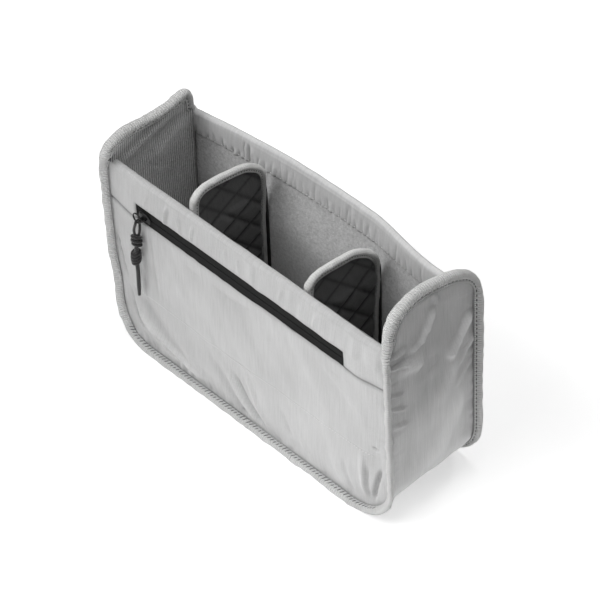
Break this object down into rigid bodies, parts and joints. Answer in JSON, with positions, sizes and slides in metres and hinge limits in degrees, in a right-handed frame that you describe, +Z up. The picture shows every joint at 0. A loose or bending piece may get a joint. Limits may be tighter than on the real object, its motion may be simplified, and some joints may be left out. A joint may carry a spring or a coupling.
{
  "type": "camera bag insert",
  "caption": "Soft padded open-top insert for a camera bag, with raised rounded ends, a zip pocket across the front and lift-out padded dividers.",
  "frame": {"origin": "on the floor, under the middle of the insert's box", "axes": "+X along the length towards the open end of the zip, -Y out of the zip pocket's side, +Z up"},
  "size_m": [0.296, 0.1064, 0.2],
  "materials": {
    "shell_cloth": "light grey ripstop cloth",
    "binding_tape": "light grey woven tape",
    "facing_cloth": "grey plain cloth",
    "pocket_lining": "grey lining cloth",
    "loop_lining": "grey brushed loop pile",
    "end_lining": "dark grey ribbed knit",
    "foam": "closed-cell foam board",
    "zip_tape": "near-black woven zip tape",
    "zip_coil": "black nylon coil",
    "dark_metal": "dark plated metal",
    "pull_cord": "dark braided cord",
    "quilted_cloth": "charcoal quilted cloth",
    "divider_binding": "light grey woven tape",
    "hook_strip": "black hook strip"
  },
  "bodies": {
    "shell": {"front_pocket_panel": "shell_cloth", "front_top_band": "shell_cloth", "pocket_lining": "pocket_lining", "front_foam_board": "foam", "front_lining": "loop_lining", "front_rim_facing": "facing_cloth", "back_outer_panel": "shell_cloth", "back_foam_board": "foam", "back_lining": "loop_lining", "back_rim_facing": "facing_cloth", "end_and_base_shell": "shell_cloth", "end_and_base_foam": "foam", "left_end_lining": "end_lining", "right_end_lining": "end_lining", "base_lining": "loop_lining", "front_binding": "binding_tape", "back_binding": "binding_tape", "left_end_binding": "binding_tape", "right_end_binding": "binding_tape", "upper_zip_tape": "zip_tape", "lower_zip_tape": "zip_tape", "upper_zip_coil": "zip_coil", "lower_zip_coil": "zip_coil", "upper_zip_left_stop": "dark_metal", "lower_zip_left_stop": "dark_metal", "zip_right_stop": "dark_metal"},
    "slider": {"slider_body": "dark_metal"},
    "ring": {"pull_ring": "dark_metal"},
    "cord": {"pull_cord": "pull_cord"},
    "left_divider": {"left_divider_foam": "foam", "left_divider_left_face": "quilted_cloth", "left_divider_right_face": "quilted_cloth", "left_divider_binding": "divider_binding", "left_divider_front_hooks": "hook_strip", "left_divider_back_hooks": "hook_strip"},
    "right_divider": {"right_divider_foam": "foam", "right_divider_left_face": "quilted_cloth", "right_divider_right_face": "quilted_cloth", "right_divider_binding": "divider_binding", "right_divider_front_hooks": "hook_strip", "right_divider_back_hooks": "hook_strip"}
  },
  "joints": [
    {"name": "zip_slide", "type": "slide", "parent": "shell", "child": "slider", "axis": [1, 0, 0], "range_m": [0, 0.19]},
    {"name": "ring_flip", "type": "hinge", "parent": "slider", "child": "ring", "pos_m": [-0.0983, -0.05, 0.1424], "axis": [0, 0, 1], "range_deg": [0, 110]},
    {"name": "cord_swing", "type": "hinge", "parent": "ring", "child": "cord", "pos_m": [-0.1023, -0.05, 0.1424], "axis": [0, 1, 0], "range_deg": [-35, 50]},
    {"name": "left_divider_lift", "type": "slide", "parent": "shell", "child": "left_divider", "axis": [0, 0, 1], "range_m": [0, 0.195]},
    {"name": "right_divider_lift", "type": "slide", "parent": "shell", "child": "right_divider", "axis": [0, 0, 1], "range_m": [0, 0.195]}
  ]
}
